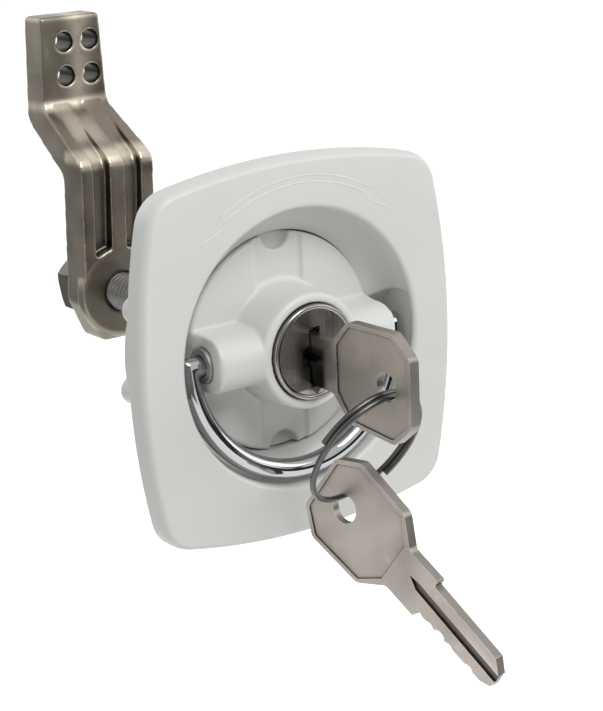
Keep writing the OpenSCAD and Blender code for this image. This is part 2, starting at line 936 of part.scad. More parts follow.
face_plate();
flange_gasket();
mounting_nut();
rotor();
rotor_o_ring();
thrust_washer();
retaining_ring();
pivot_bushes();
lock_shell();
lock_clip();
spindle();
spindle_pin();
cam_bar();
lock_washer();
jam_nut();
pull_ring();
lock_plug();
lock_wafers();
lock_drive();
drive_screw();
lock_bolt();
key();
key_ring();
spare_key();
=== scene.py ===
"""Locking flush latch: finished pieces, finishes and studio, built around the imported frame."""

import math
from contextlib import contextmanager

import bmesh
import bpy
import numpy as np
from bpy.props import FloatProperty, FloatVectorProperty, IntProperty, PointerProperty
from mathutils import Matrix, Vector


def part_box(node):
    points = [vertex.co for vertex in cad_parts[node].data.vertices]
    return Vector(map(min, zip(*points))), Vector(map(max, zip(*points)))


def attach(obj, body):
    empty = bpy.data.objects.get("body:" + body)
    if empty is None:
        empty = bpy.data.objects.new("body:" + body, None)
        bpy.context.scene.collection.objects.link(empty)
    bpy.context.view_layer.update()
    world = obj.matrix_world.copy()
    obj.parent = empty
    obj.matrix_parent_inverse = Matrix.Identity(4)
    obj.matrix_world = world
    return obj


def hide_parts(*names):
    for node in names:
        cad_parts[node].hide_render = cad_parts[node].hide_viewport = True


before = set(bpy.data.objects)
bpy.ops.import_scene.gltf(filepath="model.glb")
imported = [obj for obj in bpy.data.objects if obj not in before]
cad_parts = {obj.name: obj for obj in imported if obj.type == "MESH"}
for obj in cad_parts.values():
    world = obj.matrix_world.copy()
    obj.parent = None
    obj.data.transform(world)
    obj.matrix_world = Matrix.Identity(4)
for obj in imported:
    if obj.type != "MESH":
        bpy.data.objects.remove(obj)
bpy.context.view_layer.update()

bl_info = {
    "name": "Locking flush latch",
    "version": (1, 0, 0),
    "blender": (4, 5, 0),
    "location": "View3D > Sidebar > Latch",
    "description": "Builds the visible pieces, finishes and studio of a locking flush latch",
    "category": "Object",
}

MM = 0.001
PLATE_LOW, PLATE_HIGH = (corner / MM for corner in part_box("face_plate"))
SPINDLE_LOW, SPINDLE_HIGH = (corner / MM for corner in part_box("spindle"))

# Sizes of the face plate, in millimetres, as in the part's source.
PLATE_W = PLATE_HIGH.x - PLATE_LOW.x
PLATE_H = PLATE_HIGH.z - PLATE_LOW.z
FRONT = PLATE_LOW.y
BOSS_Y = PLATE_HIGH.y
BOW_R = 127.6
CORNER_R = 7.0
CROWN_DEPTH = 2.4
CROWN_IN = 1.3
DISC_Y = 3.3
SEAT_Y = 7.3
WALL_Y = 11.5
RIM_BORE = 20.9
BOWL_WALL = 25.6
BOWL_ARC = BOWL_WALL - RIM_BORE
LIP_R = 1.0
LIP_AT = BOWL_WALL + LIP_R + 0.35
BARREL_R = 27.1
BOSS_R = 18.0
JOURNAL_BORE = 12.55
GASKET_IN, GASKET_OUT, GASKET_T = 29.5, 32.5, 1.2
NOTCH_HALF, NOTCH_R, NOTCH_Y0, NOTCH_Y1 = 2.8, 15.9, 16.2, 19.3
TRACK_R0, TRACK_R1, TRACK_Y = 14.8, 18.4, 8.9
POCKET_X, POCKET_HALF, POCKET_R = 22.9, 3.1, 6.3
PIVOT_Y = -1.0

# Fine shapes of the face plate, in millimetres.
BORE_EDGE = 0.3
NOTCH_STEP = 0.01
BOSS_EDGE, BOSS_FILLET = 0.5, 1.0
BARREL_RIM, BARREL_FILLET = 1.2, 0.5
THREAD_TOP, THREAD_NECK, THREAD_LEVELS = WALL_Y - 0.5, 1.2, 42
THREAD_CREST, THREAD_FLANK = 0.25, 0.5
THREAD_FADE, THREAD_START, THREAD_LEFT = 1.0, 0.6, 0.35
CHAMFER, CHAMFER_RUN = 0.4, 0.5
BACK_EDGE, SEAT_EDGE = 0.4, 0.4
LIP_LAND = 1.2
POCKET_INSIDE, POCKET_BLEND = -2.0, 0.5
TRACK_END, TRACK_START = 187.0, 353.0

# Meshes taken from the solids: distances of doubled points in metres, angles in degrees.
DOUBLED, SOLID_DOUBLED = 1e-7, 2e-6
FLAT_ANGLE, SHARP_ANGLE = 0.6, 35


def length_property(name, description, millimetres):
    """A length that a user may change."""
    return FloatProperty(
        name=name, description=description, default=millimetres * MM, unit="LENGTH", precision=6
    )


def colour_property(name, description, default):
    """A colour that a user may change."""
    return FloatVectorProperty(
        name=name, description=description, default=default, subtype="COLOR", size=3, min=0, max=1
    )


class LatchSizes(bpy.types.PropertyGroup):
    """Sizes of the fine shapes that the finished pieces add to the solids."""

    plate_columns: IntProperty(
        name="Plate columns", description="Facets round the face plate", default=480, min=96
    )
    thread_depth: length_property("Barrel thread depth", "Depth of the thread on the barrel", 0.45)
    thread_pitch: length_property(
        "Barrel thread pitch", "Distance between the turns of the barrel's thread", 2.5
    )
    bead_radius: length_property(
        "Arrow bead radius", "Radius of the bead that draws the turning arrow", 0.30
    )
    bead_height: length_property(
        "Arrow bead height", "How far the arrow's bead stands out of the face", 0.07
    )
    ring_wire: length_property("Pull ring wire", "Radius of the pull ring's wire", 1.93)
    ring_elbow: length_property("Pull ring elbow", "Rounding of the pull ring's elbows", 0.75)
    key_wire: length_property("Key ring wire", "Radius of the key ring's wire", 0.55)
    spindle_pitch: length_property(
        "Spindle pitch", "Distance between the turns of the spindle's thread", 1.25
    )
    moulded_voxel: length_property(
        "Moulded detail", "Grid size of the softened moulded and cast pieces", 0.25
    )
    metal_edge: length_property(
        "Metal edge", "Width of the broken edge on machined and stamped pieces", 0.10
    )


class LatchColours(bpy.types.PropertyGroup):
    """Base colours of the finishes."""

    white_polymer: colour_property("White polymer", "Plate, nut and rotor", (0.655, 0.663, 0.634))
    black_rubber: colour_property("Black rubber", "Gasket and seal", (0.022, 0.022, 0.024))
    washer_polymer: colour_property("Washer polymer", "Thrust washer", (0.50, 0.48, 0.43))
    spring_steel: colour_property("Spring steel", "Clips and pin", (0.30, 0.30, 0.31))
    bush_steel: colour_property("Bush steel", "Bushes of the pull ring", (0.40, 0.40, 0.39))
    lock_steel: colour_property("Lock steel", "Rim and plug of the lock", (0.275, 0.262, 0.247))
    zinc_steel: colour_property("Zinc steel", "Spindle", (0.15, 0.146, 0.14))
    bronze_cast: colour_property("Cast bronze", "Cam bar", (0.20, 0.181, 0.145))
    bronze_nut: colour_property("Dark bronze", "Jam nut and its washer", (0.085, 0.068, 0.055))
    bright_chrome: colour_property("Bright chrome", "Pull ring", (0.40, 0.407, 0.418))
    wafer_brass: colour_property("Wafer brass", "Wafers of the lock", (0.72, 0.53, 0.22))
    key_nickel: colour_property("Key nickel", "Both keys", (0.50, 0.455, 0.411))
    dark_wire: colour_property("Dark wire", "Key ring", (0.095, 0.095, 0.092))


def sizes():
    """The sizes of the open scene."""
    return bpy.context.scene.latch_sizes


def colour(name):
    """A finish's base colour, with full alpha."""
    return (*getattr(bpy.context.scene.latch_colours, name), 1.0)


# Meshes


def with_values(thing, **values):
    """The thing that is given, with its values set."""
    for key, value in values.items():
        setattr(thing, key, value)
    return thing


def linked(name, data):
    """A new object in the scene for a mesh, lamp or camera."""
    obj = bpy.data.objects.new(name, data)
    bpy.context.scene.collection.objects.link(obj)
    return obj


@contextmanager
def edited(mesh):
    """A mesh opened for editing, and written back at the end."""
    work = bmesh.new()
    work.from_mesh(mesh)
    yield work
    work.to_mesh(mesh)
    work.free()


def piece_from(name, points, faces):
    """An object whose points are given in millimetres, with its faces turned outwards."""
    mesh = bpy.data.meshes.new(name)
    mesh.from_pydata((np.asarray(points, float) * MM).tolist(), [], faces)
    tidy_mesh(mesh)
    return linked(name, mesh)


def tidy_mesh(mesh):
    """Merges doubled points and turns the faces outwards."""
    with edited(mesh) as work:
        bmesh.ops.remove_doubles(work, verts=work.verts, dist=DOUBLED)
        bmesh.ops.recalc_face_normals(work, faces=work.faces)
    mesh.update()


def grid_faces(rows, columns, close_rows=True, close_columns=True):
    """Quads of a grid of points, which closes on itself both ways unless it is told not to."""
    faces = []
    for i in range(rows if close_rows else rows - 1):
        here, there = i * columns, (i + 1) % rows * columns
        for j in range(columns if close_columns else columns - 1):
            k = (j + 1) % columns
            faces.append((here + j, here + k, there + k, there + j))
    return faces


def arc_points(centre, radius, start, end, count):
    """Points of an arc, with angles in degrees."""
    turns = np.radians(np.linspace(start, end, count))
    return [(centre[0] + radius * math.cos(a), centre[1] + radius * math.sin(a)) for a in turns]


def baked(obj):
    """Replaces an object's mesh by its evaluated one and removes its modifiers."""
    depsgraph = bpy.context.evaluated_depsgraph_get()
    mesh = bpy.data.meshes.new_from_object(obj.evaluated_get(depsgraph), depsgraph=depsgraph)
    mesh.name = obj.name
    obj.modifiers.clear()
    obj.data = mesh
    return obj


def solid_copy(name, node, flatten=False):
    """A merged copy of a CAD node's mesh, as a new object."""
    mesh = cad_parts[node].data.copy()
    mesh.name = name
    mesh.materials.clear()
    if "custom_normal" in mesh.attributes:
        mesh.attributes.remove(mesh.attributes["custom_normal"])
    with edited(mesh) as work:
        bmesh.ops.remove_doubles(work, verts=work.verts, dist=SOLID_DOUBLED)
        if flatten:
            limit = math.radians(FLAT_ANGLE)
            bmesh.ops.dissolve_limit(work, angle_limit=limit, verts=work.verts, edges=work.edges)
        for edge in work.edges:
            edge.smooth = True
    return linked(name, mesh)


def softened(name, node, rounds, keep=1.0, fill=()):
    """A moulded or cast piece: the solid on a fine grid, with its edges smoothed.

    Blocks that fill hollows are added first. A share of the triangles is kept at the end.
    """
    obj = solid_copy(name, node)
    for points, faces in fill:
        block = piece_from(name + "_fill", points, faces)
        with edited(obj.data) as work:
            work.from_mesh(block.data)
        bpy.data.meshes.remove(block.data)
    add = obj.modifiers.new
    with_values(add("grid", "REMESH"), mode="VOXEL", voxel_size=sizes().moulded_voxel)
    with_values(add("soft", "SMOOTH"), factor=0.5, iterations=rounds)
    if keep < 1.0:
        with_values(add("thin", "DECIMATE"), ratio=keep)
    return baked(obj)


def edged(name, node, width=None, steps=2):
    """A machined or stamped piece: the solid with its sharp edges broken."""
    obj = solid_copy(name, node, flatten=True)
    add = obj.modifiers.new
    with_values(
        add("edge", "BEVEL"), width=width or sizes().metal_edge, segments=steps,
        limit_method="ANGLE", angle_limit=math.radians(SHARP_ANGLE), use_clamp_overlap=True,
    )
    with_values(add("split", "TRIANGULATE"), min_vertices=5)
    with_values(add("flat", "WEIGHTED_NORMAL"), mode="FACE_AREA", weight=100)
    obj.data.shade_smooth()
    return baked(obj)


def dressed(obj, body, finish, nodes=(), sharp=SHARP_ANGLE):
    """Gives a finished piece its shading, finish and body, and hides the nodes that it stands for.
    """
    obj.data.materials.clear()
    obj.data.materials.append(material(finish))
    if not obj.data.has_custom_normals:
        obj.data.shade_smooth()
        if sharp:
            obj.data.set_sharp_from_angle(angle=math.radians(sharp))
    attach(obj, body)
    if nodes:
        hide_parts(*nodes)
    return obj


# Geometry Nodes


def made_once(build):
    """The node group that a function builds, built once under the function's own name."""
    name = build.__name__.replace("_", " ").capitalize()
    if name not in bpy.data.node_groups:
        build(name)
    return bpy.data.node_groups[name]


def swept_wire(name):
    """A tree that turns a path of edges into a round wire with closed ends."""
    tree = bpy.data.node_groups.new(name, "GeometryNodeTree")
    for way, label, kind in (
        ("INPUT", "Geometry", "NodeSocketGeometry"),
        ("INPUT", "Wire Radius", "NodeSocketFloat"),
        ("INPUT", "Sides", "NodeSocketInt"),
        ("INPUT", "Finish", "NodeSocketMaterial"),
        ("OUTPUT", "Geometry", "NodeSocketGeometry"),
    ):
        tree.interface.new_socket(label, in_out=way, socket_type=kind)
    add, join = tree.nodes.new, tree.links.new
    start, end = add("NodeGroupInput"), add("NodeGroupOutput")
    path = add("GeometryNodeMeshToCurve")
    circle = add("GeometryNodeCurvePrimitiveCircle")
    sweep = add("GeometryNodeCurveToMesh")
    sweep.inputs["Fill Caps"].default_value = True
    smooth = add("GeometryNodeSetShadeSmooth")
    realize = add("GeometryNodeRealizeInstances")
    paint = add("GeometryNodeSetMaterial")
    # The wire's own geometry runs through the first socket of each node
    chain = (start, path, sweep, smooth, realize, paint, end)
    for here, following in zip(chain, chain[1:]):
        join(here.outputs[0], following.inputs[0])
    join(start.outputs["Wire Radius"], circle.inputs["Radius"])
    join(start.outputs["Sides"], circle.inputs["Resolution"])
    join(circle.outputs["Curve"], sweep.inputs["Profile Curve"])
    join(start.outputs["Finish"], paint.inputs["Material"])


def wire_along(name, path, radius, sides, finish, closed=False):
    """A round wire along a path in millimetres, as a plain mesh."""
    mesh = bpy.data.meshes.new(name)
    count = len(path)
    edges = [(i, (i + 1) % count) for i in range(count if closed else count - 1)]
    mesh.from_pydata((np.asarray(path, float) * MM).tolist(), edges, [])
    obj = linked(name, mesh)
    modifier = obj.modifiers.new("wire", "NODES")
    modifier.node_group = made_once(swept_wire)
    values = {"Wire Radius": radius, "Sides": sides, "Finish": material(finish)}
    for item in modifier.node_group.interface.items_tree:
        if item.in_out == "INPUT" and item.name in values:
            modifier[item.identifier] = values[item.name]
    baked(obj)
    tidy_mesh(obj.data)
    return obj


# Shader groups and finishes


def set_inputs(node, values):
    """Sets a node's plain inputs, whose names are given with an underscore for each space."""
    for key, value in values.items():
        node.inputs[key.replace("_", " ")].default_value = value


class Nodes:
    """Short calls to add and join the nodes of one tree."""

    def __init__(self, tree):
        self.tree = tree

    def add(self, kind, **inputs):
        node = self.tree.nodes.new(kind)
        set_inputs(node, inputs)
        return node

    def join(self, source, target):
        self.tree.links.new(source, target)

    def feed(self, value, target):
        if isinstance(value, bpy.types.NodeSocket):
            self.join(value, target)
        else:
            target.default_value = value

    def place(self):
        return self.add("ShaderNodeTexCoord").outputs["Object"]

    def axes(self, place):
        split = self.add("ShaderNodeSeparateXYZ")
        self.join(place, split.inputs[0])
        return split.outputs

    def math(self, operation, *values):
        node = with_values(self.add("ShaderNodeMath"), operation=operation)
        for value, target in zip(values, node.inputs):
            self.feed(value, target)
        return node.outputs[0]

    def spread(self, value, *limits):
        node = self.add("ShaderNodeMapRange")
        names = ("Value", "From Min", "From Max", "To Min", "To Max")
        for name, number in zip(names, (value, *limits)):
            self.feed(number, node.inputs[name])
        return node.outputs["Result"]

    def noise(self, vector, scale, detail=3.0, roughness=0.55, distortion=0.0):
        node = self.add(
            "ShaderNodeTexNoise", Detail=detail, Roughness=roughness, Distortion=distortion
        )
        self.join(vector, node.inputs["Vector"])
        self.feed(scale, node.inputs["Scale"])
        return node.outputs["Fac"]

    def mix(self, factor, first, second):
        node = with_values(self.add("ShaderNodeMix"), data_type="RGBA")
        for index, value in ((0, factor), (6, first), (7, second)):
            self.feed(value, node.inputs[index])
        return node.outputs[2]


def shader_group(name, inputs, outputs):
    """The Nodes and the two ends of a new shader group with float inputs and outputs."""
    tree = bpy.data.node_groups.new(name, "ShaderNodeTree")
    for label, default in inputs:
        socket = tree.interface.new_socket(label, in_out="INPUT", socket_type="NodeSocketFloat")
        socket.default_value = default
    for label in outputs:
        tree.interface.new_socket(label, in_out="OUTPUT", socket_type="NodeSocketFloat")
    nodes = Nodes(tree)
    return nodes, nodes.add("NodeGroupInput").outputs, nodes.add("NodeGroupOutput").inputs


def surface_grain(name):
    """Fine grain of a moulded or cast surface, with slow changes of tone and gloss."""
    inputs = (("Grain Scale", 2500.0), ("Cloud Scale", 60.0))
    n, start, end = shader_group(name, inputs, ("Height", "Cloud", "Speck"))
    place = n.place()
    n.join(n.noise(place, start["Grain Scale"], 4.0, 0.6), end["Height"])
    n.join(n.noise(place, start["Cloud Scale"], 3.0, 0.5, 0.4), end["Cloud"])
    speck = n.add("ShaderNodeTexVoronoi")
    n.join(place, speck.inputs["Vector"])
    n.join(start["Grain Scale"], speck.inputs["Scale"])
    n.join(speck.outputs["Distance"], end["Speck"])


def brushed_lines(name):
    """Fine lines that a brush or a tumbler leaves, in two crossing directions."""
    n, start, end = shader_group(name, (("Line Scale", 900.0),), ("Lines", "Scratches"))
    place = n.place()
    results = []
    for turn, squeeze in (
        ((0.1, 0.2, 0.35), (1.0, 1.0, 0.04)),
        ((0.5, 0.9, 1.1), (1.0, 0.02, 0.3)),
    ):
        mapping = n.add("ShaderNodeMapping", Rotation=turn, Scale=squeeze)
        n.join(place, mapping.inputs["Vector"])
        results.append(n.noise(mapping.outputs["Vector"], start["Line Scale"], 5.0, 0.65))
    n.join(results[0], end["Lines"])
    n.join(n.spread(results[1], 0.60, 0.68, 0.0, 1.0), end["Scratches"])


def edge_wear(name):
    """A mask of the edges that handling has worn, broken up by noise."""
    inputs = (("Patch Scale", 400.0), ("Edge Radius", 0.35 * MM))
    n, start, end = shader_group(name, inputs, ("Worn",))
    bevel = with_values(n.add("ShaderNodeBevel"), samples=6)
    n.join(start["Edge Radius"], bevel.inputs["Radius"])
    dot = with_values(n.add("ShaderNodeVectorMath"), operation="DOT_PRODUCT")
    n.join(bevel.outputs["Normal"], dot.inputs[0])
    n.join(n.add("ShaderNodeNewGeometry").outputs["Normal"], dot.inputs[1])
    edge = n.spread(dot.outputs["Value"], 0.995, 0.86, 0.0, 1.0)
    patch = n.noise(n.place(), start["Patch Scale"], 4.0, 0.7)
    broken = n.spread(patch, 0.35, 0.6, 0.25, 1.0)
    n.join(n.math("MULTIPLY", edge, broken), end["Worn"])


def corner_grime(name):
    """A mask of the holes, grooves and inner corners: dirt and old grease stay there, and shade is
    painted there too.
    """
    inputs = (("Reach", 2.5 * MM), ("Patch Scale", 500.0), ("Open", 0.72), ("Shut", 0.25))
    n, start, end = shader_group(name, inputs, ("Grime",))
    open_air = with_values(n.add("ShaderNodeAmbientOcclusion"), samples=8, only_local=True)
    n.join(start["Reach"], open_air.inputs["Distance"])
    hidden = n.spread(open_air.outputs["AO"], start["Open"], start["Shut"], 0.0, 1.0)
    patch = n.noise(n.place(), start["Patch Scale"], 4.0, 0.6)
    broken = n.spread(patch, 0.3, 0.62, 0.7, 1.0)
    n.join(n.math("MULTIPLY", hidden, broken), end["Grime"])


def placed(n, build, **values):
    """A shader group in a material, with its own values."""
    node = with_values(n.add("ShaderNodeGroup"), node_tree=made_once(build))
    set_inputs(node, values)
    return node.outputs


def new_material(name, **sockets):
    """A material with one Principled BSDF whose plain values are set on its sockets."""
    mat = bpy.data.materials.new(name)
    mat.use_nodes = True
    shader = next(node for node in mat.node_tree.nodes if node.type == "BSDF_PRINCIPLED")
    set_inputs(shader, sockets)
    return mat, Nodes(mat.node_tree), shader


def bumped(n, shader, height, strength, distance):
    """Feeds a height to the shader's normal through a Bump node."""
    bump = n.add("ShaderNodeBump", Strength=strength, Distance=distance)
    n.join(height, bump.inputs["Height"])
    n.join(bump.outputs["Normal"], shader.inputs["Normal"])


def shade(rgba, factor):
    """A colour made darker or lighter."""
    return tuple(min(1.0, c * factor) for c in rgba[:3]) + (1.0,)


# The range of the cloud noise over which tone and gloss change
CLOUDS = (0.3, 0.7)


def moulded(name, base, roughness, grain, bump, spread=0.05):
    """Finish of a moulded polymer or rubber."""
    mat, n, shader = new_material(name, Specular_IOR_Level=0.45)
    out = placed(n, surface_grain, Grain_Scale=grain, Cloud_Scale=70.0)
    tone = n.spread(out["Cloud"], *CLOUDS, 0.0, 1.0)
    paint = n.mix(tone, shade(base, 1.0 - spread), shade(base, 1.0 + spread * 0.5))
    n.join(paint, shader.inputs["Base Color"])
    rough = n.spread(out["Cloud"], *CLOUDS, roughness - 0.04, roughness + 0.05)
    n.join(rough, shader.inputs["Roughness"])
    bumped(n, shader, out["Height"], bump, 0.02 * MM)
    return mat


def mark_value(n, name):
    """The value of a mark that is written on a mesh."""
    return with_values(n.add("ShaderNodeAttribute"), attribute_name=name).outputs["Fac"]


def bore_mask(n, middle, apart, radius):
    """The insides of four bores along y, set evenly round a middle in x and z, where shade is
    painted.
    """
    axes, soft = n.axes(n.place()), 0.1
    squares = []
    for axis, centre, half in zip("XZ", middle, apart):
        off = n.math("ABSOLUTE", n.math("SUBTRACT", axes[axis], centre * MM))
        off = n.math("SUBTRACT", off, half * MM)
        squares.append(n.math("MULTIPLY", off, off))
    away = n.math("SQRT", n.math("ADD", *squares))
    return n.spread(away, (radius + soft) * MM, (radius - soft) * MM, 0.0, 1.0)


def zone_mask(n, low, high, soft, strength):
    """A soft box in the part's millimetres, broken up by noise, as a mask."""
    place = n.place()
    axes = n.axes(place)
    mask = n.spread(n.noise(place, 260.0), 0.3, 0.6, 0.6 * strength, strength)
    for axis, first, last in zip("XYZ", low, high):
        for edge, way in ((first, soft), (last, -soft)):
            if edge is not None:
                near = n.spread(axes[axis], (edge - way) * MM, (edge + way) * MM, 0.0, 1.0)
                near.node.interpolation_type = "SMOOTHSTEP"
                mask = n.math("MULTIPLY", mask, near)
    return mask


# Shares of a metal's colour for: dirt with painted shade in corners, painted highlights partly from
# wear, painted shade in bores, cut edges and shaded grooves, painted shade zones
GRIME_AND_SHADE, RUBBED_HIGHLIGHT, BORE_SHADE, CUT_AND_GROOVE_SHADE, PAINTED_SHADE = 0.16, 3.3, 0.10, 0.22, 0.03


def metal(
    name, base, roughness, grain, bump, worn=1.25, lines=0.0, spread=0.12, tint=None, specks=0.0,
    edge=0.35, grime=0.0, reach=2.5, hollow=(0.72, 0.25), rubbed_and_highlit=(), painted_shade_zones=(), bores=None,
    marks=False,
):
    """Finish of a metal: cloudy tone, grain or brushed lines, worn edges, dirt with painted shade
    in its corners, and painted highlights and painted shade in given places.
    """
    mat, n, shader = new_material(name, Metallic=1.0)
    out = placed(n, surface_grain, Grain_Scale=grain, Cloud_Scale=110.0)
    tone = n.spread(out["Cloud"], *CLOUDS, 0.0, 1.0)
    paint = n.mix(tone, shade(base, 1.0 - spread), shade(base, 1.0 + spread))
    if tint:
        patch = n.noise(n.place(), 45.0, 2.0, 0.5, 1.2)
        paint = n.mix(n.spread(patch, 0.5, 0.72, 0.0, 0.55), paint, tint)
    brushed = placed(n, brushed_lines, Line_Scale=900.0)
    scratch = n.math("MULTIPLY", brushed["Scratches"], 0.25)
    paint = n.mix(scratch, paint, shade(base, worn))
    wear = placed(n, edge_wear, Patch_Scale=400.0, Edge_Radius=edge * MM)["Worn"]
    paint = n.mix(wear, paint, shade(base, worn))
    # Dirt and old grease in holes, grooves and inner corners, together with painted shade there
    if grime:
        air = dict(zip(("Open", "Shut"), hollow))
        hidden = placed(n, corner_grime, Reach=reach * MM, **air)["Grime"]
        paint = n.mix(n.math("MULTIPLY", hidden, grime), paint, shade(base, GRIME_AND_SHADE))
    # Painted highlights, partly real wear, in the given zones
    for zone in rubbed_and_highlit:
        paint = n.mix(zone_mask(n, *zone), paint, shade(base, RUBBED_HIGHLIGHT))
    # Painted shade inside the given bores
    if bores:
        paint = n.mix(bore_mask(n, *bores), paint, shade(base, BORE_SHADE))
    # Cut edges painted darker, and painted shade in the key's groove
    if marks:
        paint = n.mix(mark_value(n, "cut_face_and_groove_shade"), paint, shade(base, CUT_AND_GROOVE_SHADE))
    # Painted shade in the given zones, on a key only where it lies in the lock
    for zone in painted_shade_zones:
        near = zone_mask(n, *zone)
        if marks:
            near = n.math("MULTIPLY", near, mark_value(n, "in_lock"))
        paint = n.mix(near, paint, shade(base, PAINTED_SHADE))
    n.join(paint, shader.inputs["Base Color"])
    rough = n.spread(out["Cloud"], *CLOUDS, roughness * 0.85, roughness * 1.2)
    brush = n.math("MULTIPLY", n.math("SUBTRACT", brushed["Lines"], 0.5), lines * 0.5)
    rough = n.math("ADD", rough, brush)
    rough = n.math("SUBTRACT", rough, n.math("MULTIPLY", wear, roughness * 0.3))
    n.join(rough, shader.inputs["Roughness"])
    height = n.math("MULTIPLY", out["Height"], 1.0 - lines)
    height = n.math("ADD", height, n.math("MULTIPLY", brushed["Lines"], lines))
    if specks:
        height = n.math("ADD", height, n.math("MULTIPLY", out["Speck"], specks))
    bumped(n, shader, height, bump, 0.03 * MM)
    return mat


def chrome(name, base):
    """Finish of the plated pull ring: a mirror with faint polishing marks and handling smears."""
    mat, n, shader = new_material(name, Metallic=1.0)
    out = placed(n, surface_grain, Grain_Scale=900.0, Cloud_Scale=90.0)
    tone = n.spread(out["Cloud"], 0.35, 0.7, 0.0, 1.0)
    n.join(n.mix(tone, base, shade(base, 0.93)), shader.inputs["Base Color"])
    brushed = placed(n, brushed_lines, Line_Scale=1400.0)
    smear = n.spread(out["Cloud"], 0.42, 0.75, 0.045, 0.12)
    rough = n.math("ADD", smear, n.math("MULTIPLY", brushed["Scratches"], 0.05))
    n.join(rough, shader.inputs["Roughness"])
    bumped(n, shader, brushed["Lines"], 0.04, 0.01 * MM)
    return mat


FINISHES = {
    "white_polymer": (moulded, dict(roughness=0.40, grain=2600.0, bump=0.10, spread=0.012)),
    "black_rubber": (moulded, dict(roughness=0.62, grain=1800.0, bump=0.35, spread=0.3)),
    "washer_polymer": (moulded, dict(roughness=0.45, grain=2200.0, bump=0.15)),
    "spring_steel": (metal, dict(roughness=0.32, grain=1500.0, bump=0.12, lines=0.5)),
    "bush_steel": (metal, dict(roughness=0.55, grain=1900.0, bump=0.15)),
    "lock_steel": (
        metal,
        dict(
            roughness=0.25, grain=1600.0, bump=0.05, lines=0.4, worn=1.8, spread=0.25,
            edge=0.2, grime=0.8, reach=1.5,
            # Painted shade round the keyway, as of a wider dark opening
            painted_shade_zones=(((-2.6, None, -2.5), (0.5, -6.0, 1.0), 0.45, 1.0),),
        ),
    ),
    "zinc_steel": (
        metal,
        dict(roughness=0.34, grain=1700.0, bump=0.10, lines=0.2, grime=0.85, reach=0.6),
    ),
    "bronze_cast": (
        metal,
        dict(
            roughness=0.34, grain=1300.0, bump=0.20, worn=1.9, spread=0.14,
            tint=(0.27, 0.215, 0.19, 1.0), edge=0.8, grime=0.96, reach=5.0, hollow=(0.78, 0.42),
            # Painted highlights, partly real wear, on the bar's end and its two bends
            rubbed_and_highlit=(
                ((-1.0, None, 38.0), (3.6, None, None), 2.4, 0.8),
                ((None, None, 27.3), (None, 63.0, 29.6), 0.8, 0.95),
                ((-8.0, None, 36.6), (0.5, None, 38.2), 0.8, 0.8),
                ((-5.0, None, 30.5), (1.0, None, 36.0), 1.6, 0.45),
            ),
            # Painted shade inside the four bores
            bores=((1.4, 46.7), (3.0, 3.5), 2.1),
        ),
    ),
    "bronze_nut": (metal, dict(roughness=0.36, grain=1500.0, bump=0.15, worn=1.5)),
    "bright_chrome": (chrome, {}),
    "wafer_brass": (metal, dict(roughness=0.30, grain=1700.0, bump=0.10, lines=0.5)),
    "key_nickel": (
        metal,
        dict(
            roughness=0.40, grain=2400.0, bump=0.16, worn=1.5, spread=0.08, specks=0.35,
            grime=0.85, reach=1.6, hollow=(0.97, 0.72), marks=True,
            # Painted shade on the blade where it enters the lock, in place of the dark lock's
            # reflection
            painted_shade_zones=(
                ((None, -12.4, None), (None, -6.0, None), 3.0, 0.75),
                ((None, -11.9, None), (None, -7.0, 1.3), 0.8, 1.0),
            ),
        ),
    ),
    "dark_wire": (metal, dict(roughness=0.30, grain=1800.0, bump=0.08, lines=0.3, worn=1.6)),
}


def material(name):
    """The finish of that name, made once."""
    mat = bpy.data.materials.get(name)
    if mat is None or "latch_finish" not in mat:
        make, values = FINISHES[name]
        mat = make(name, colour(name), **values)
        mat["latch_finish"] = 1
    return mat


# Face plate


def circle_hit(ux, uz, cx, cz, radius):
    """Distance along a direction from the axis to the far side of a circle."""
    along = ux * cx + uz * cz
    return along + math.sqrt(along * along - cx * cx - cz * cz + radius * radius)


def plate_radius(angle, inset):
    """Distance from the axis to the plate's outline, drawn in by inset."""
    ux, uz = abs(math.cos(angle)), abs(math.sin(angle))
    side, top = PLATE_W / 2 - BOW_R, PLATE_H / 2 - BOW_R
    rho = BOW_R - CORNER_R
    across = math.hypot(side, top)
    reach = math.sqrt(rho * rho - across * across / 4)
    cx = side / 2 - top / across * reach
    cz = top / 2 - side / across * reach
    turn_side = math.atan2(cz, cx - side)
    turn_top = math.atan2(cz - top, cx)
    bow = BOW_R - inset
    first = math.atan2(bow * math.sin(turn_side), side + bow * math.cos(turn_side))
    second = math.atan2(top + bow * math.sin(turn_top), bow * math.cos(turn_top))
    here = math.atan2(uz, ux)
    if here < first:
        return circle_hit(ux, uz, side, 0, bow)
    if here > second:
        return circle_hit(ux, uz, 0, top, bow)
    return circle_hit(ux, uz, cx, cz, CORNER_R - inset)


def smooth_max(first, second, soft):
    """The larger of two values, with a soft passage between them."""
    near = np.maximum(soft - np.abs(first - second), 0) / soft
    return np.maximum(first, second) + near * near * soft / 4


